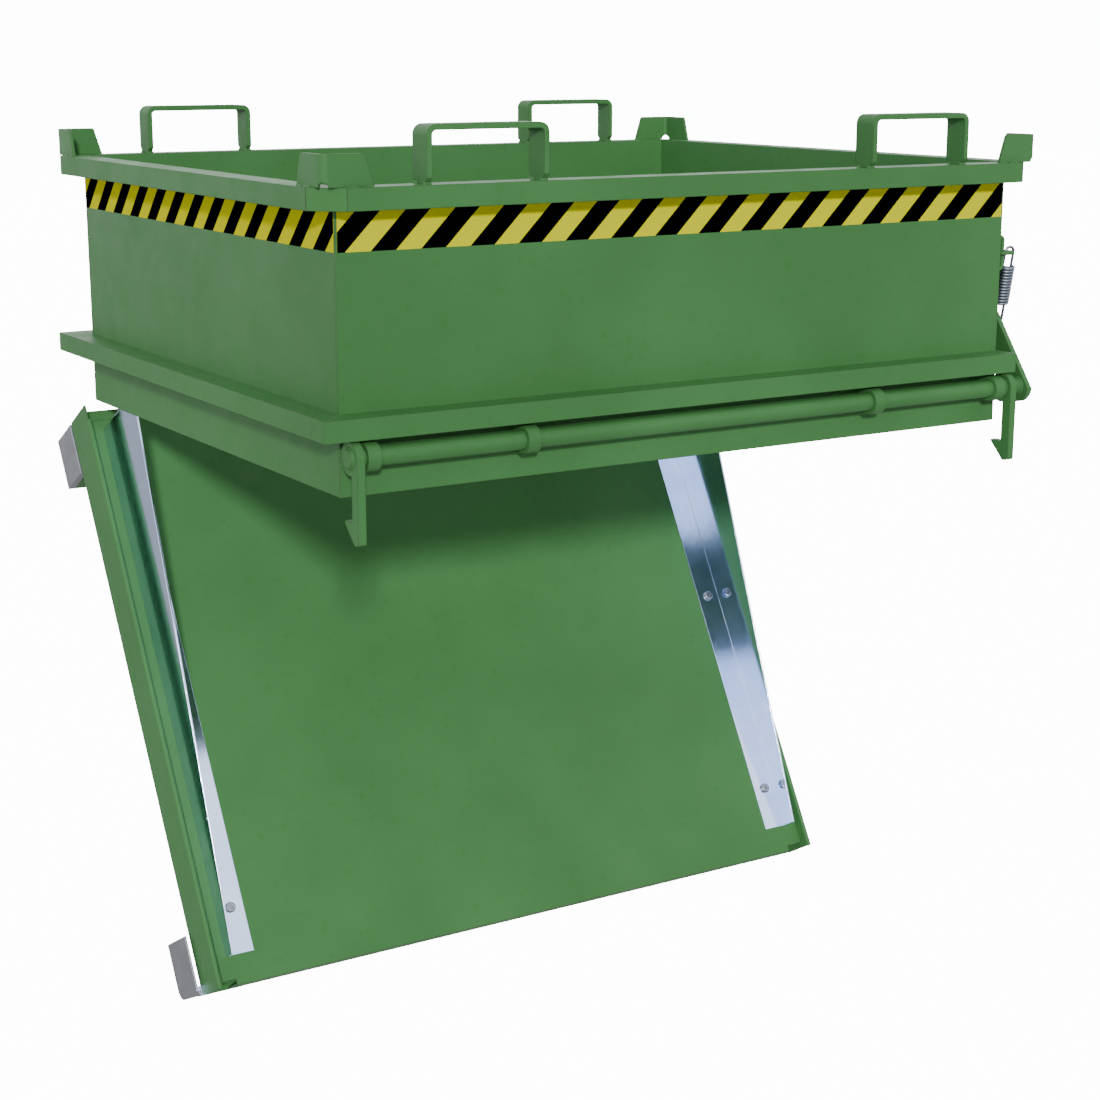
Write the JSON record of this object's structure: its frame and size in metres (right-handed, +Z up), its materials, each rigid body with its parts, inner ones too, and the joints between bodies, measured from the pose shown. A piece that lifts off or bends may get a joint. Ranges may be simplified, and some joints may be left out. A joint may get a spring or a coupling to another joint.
{
  "type": "hinged floor stacking container",
  "caption": "Open rectangular steel container with fork loops on its rim and a hinged drop floor that swings open below, held by a sprung front latch shaft.",
  "frame": {"origin": "middle of the four fork loops at the underside of their crossbars, where the forks bear", "axes": "+X along the long side toward the release lever, +Y toward the floor hinge, +Z up"},
  "size_m": [1.24, 1.1438, 1.4364],
  "materials": {
    "green_paint": "satin powder coat",
    "galvanised": "bright galvanised",
    "fastener_zinc": "zinc plated",
    "spring_steel": "bright zinc",
    "hazard_tape": "yellow and black diagonal stripes"
  },
  "bodies": {
    "container": {"flange_front": "green_paint", "flange_left": "green_paint", "flange_rear": "green_paint", "flange_right": "green_paint", "fork_loop_front_left": "green_paint", "fork_loop_front_right": "green_paint", "fork_loop_rear_left": "green_paint", "fork_loop_rear_right": "green_paint", "front_wall": "green_paint", "hazard_tape": "hazard_tape", "hinge_bracket_left": "green_paint", "hinge_bracket_right": "green_paint", "hinge_clips": "fastener_zinc", "hinge_pin_left": "fastener_zinc", "hinge_pin_right": "fastener_zinc", "left_wall": "green_paint", "rear_wall": "green_paint", "right_wall": "green_paint", "rim_corners": "green_paint", "rim_front": "green_paint", "rim_left": "green_paint", "rim_rear": "green_paint", "rim_right": "green_paint", "shaft_strap_far_left": "green_paint", "shaft_strap_far_right": "green_paint", "shaft_strap_left": "green_paint", "shaft_strap_right": "green_paint", "spring_link": "green_paint", "spring_staple": "green_paint", "stacking_guide_front_left": "green_paint", "stacking_guide_front_right": "green_paint", "stacking_guide_rear_left": "green_paint", "stacking_guide_rear_right": "green_paint", "tension_spring": "spring_steel"},
    "floor": {"catch_block_left": "green_paint", "catch_block_right": "green_paint", "floor_plate": "green_paint", "floor_rail_left": "green_paint", "floor_rail_right": "green_paint", "foot_spacer_left": "galvanised", "foot_spacer_right": "galvanised", "front_foot_left": "galvanised", "front_foot_right": "galvanised", "hinge_beam": "green_paint", "hinge_eye_left": "green_paint", "hinge_eye_right": "green_paint", "rear_foot_left": "galvanised", "rear_foot_right": "galvanised", "strip_nuts": "fastener_zinc", "strip_screws": "fastener_zinc", "wedge_strip_left": "galvanised", "wedge_strip_right": "galvanised"},
    "latch": {"latch_shaft": "green_paint", "hook_left": "green_paint", "hook_right": "green_paint", "release_lever": "green_paint"}
  },
  "joints": [
    {"name": "floor_hinge", "type": "hinge", "parent": "container", "child": "floor", "pos_m": [0, 0.5091, -0.4848], "axis": [1, 0, 0], "range_deg": [-60, 0]},
    {"name": "latch_turn", "type": "hinge", "parent": "container", "child": "latch", "pos_m": [0, -0.5003, -0.4207], "axis": [1, 0, 0], "range_deg": [-25, 0], "stiffness_Nm_per_rad": 20, "springref_deg": 20.05, "deforming": ["tension_spring"]}
  ]
}
